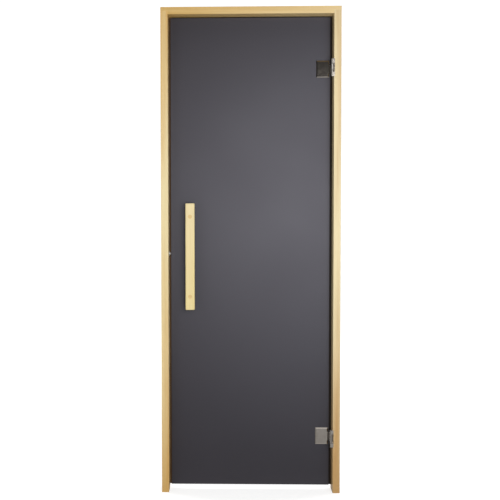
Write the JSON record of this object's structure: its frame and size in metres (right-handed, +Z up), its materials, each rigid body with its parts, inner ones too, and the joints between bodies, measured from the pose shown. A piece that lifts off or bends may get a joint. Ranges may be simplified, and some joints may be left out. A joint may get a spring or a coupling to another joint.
{
  "type": "sauna door",
  "caption": "Tinted glass door leaf on clamp hinges in a pale wooden frame, with a wooden pull handle on both sides and a ball catch.",
  "frame": {"origin": "on the hinge jamb's wall face, at floor level, in the middle of the frame's depth", "axes": "+X out of the hinge jamb's wall face, so the doorway runs towards -X; +Y from the pull side to the hot-room side; +Z up"},
  "size_m": [0.7, 0.128, 1.9],
  "materials": {
    "frame_wood": "planed pale softwood, unfinished",
    "handle_wood": "sanded pale softwood, unfinished",
    "tinted_glass": "dark grey tinted tempered glass with a satin face",
    "hinge_metal": "polished nickel-chrome plate",
    "screw_steel": "plain stainless steel",
    "catch_metal": "satin nickel",
    "seal_rubber": "black silicone rubber",
    "sleeve_plastic": "natural nylon"
  },
  "bodies": {
    "frame": {"hinge_jamb": "frame_wood", "strike_jamb": "frame_wood", "head": "frame_wood", "corner_screws": "screw_steel", "strike_stop": "frame_wood", "hinge_stop": "frame_wood", "head_stop": "frame_wood", "strike_seal": "seal_rubber", "hinge_seal": "seal_rubber", "head_seal": "seal_rubber", "catch_sleeve": "catch_metal", "lower_hinge_leaf": "hinge_metal", "lower_hinge_leaf_screws": "screw_steel", "lower_hinge_pin": "hinge_metal", "upper_hinge_leaf": "hinge_metal", "upper_hinge_leaf_screws": "screw_steel", "upper_hinge_pin": "hinge_metal"},
    "door": {"glass": "tinted_glass", "clamp_sleeves": "sleeve_plastic", "handle_front_bar": "handle_wood", "handle_front_spacers": "handle_wood", "handle_front_washers": "seal_rubber", "handle_front_plugs": "handle_wood", "handle_back_bar": "handle_wood", "handle_back_spacers": "handle_wood", "handle_back_washers": "seal_rubber", "handle_back_plugs": "handle_wood", "handle_bolts": "screw_steel", "handle_sleeves": "sleeve_plastic", "lower_hinge_arm": "hinge_metal", "lower_hinge_back_plate": "hinge_metal", "lower_hinge_gaskets": "seal_rubber", "lower_hinge_clamp_screws": "screw_steel", "upper_hinge_arm": "hinge_metal", "upper_hinge_back_plate": "hinge_metal", "upper_hinge_gaskets": "seal_rubber", "upper_hinge_clamp_screws": "screw_steel"},
    "catch_nose": {"catch_nose": "catch_metal"}
  },
  "joints": [
    {"name": "door_swing", "type": "hinge", "parent": "frame", "child": "door", "pos_m": [-0.034, -0.033, 0.94], "axis": [0, 0, 1], "range_deg": [0, 165]},
    {"name": "catch_press", "type": "slide", "parent": "frame", "child": "catch_nose", "axis": [-1, 0, 0], "range_m": [0, 0.005], "stiffness_N_per_m": 600, "springref_m": -0.003}
  ]
}
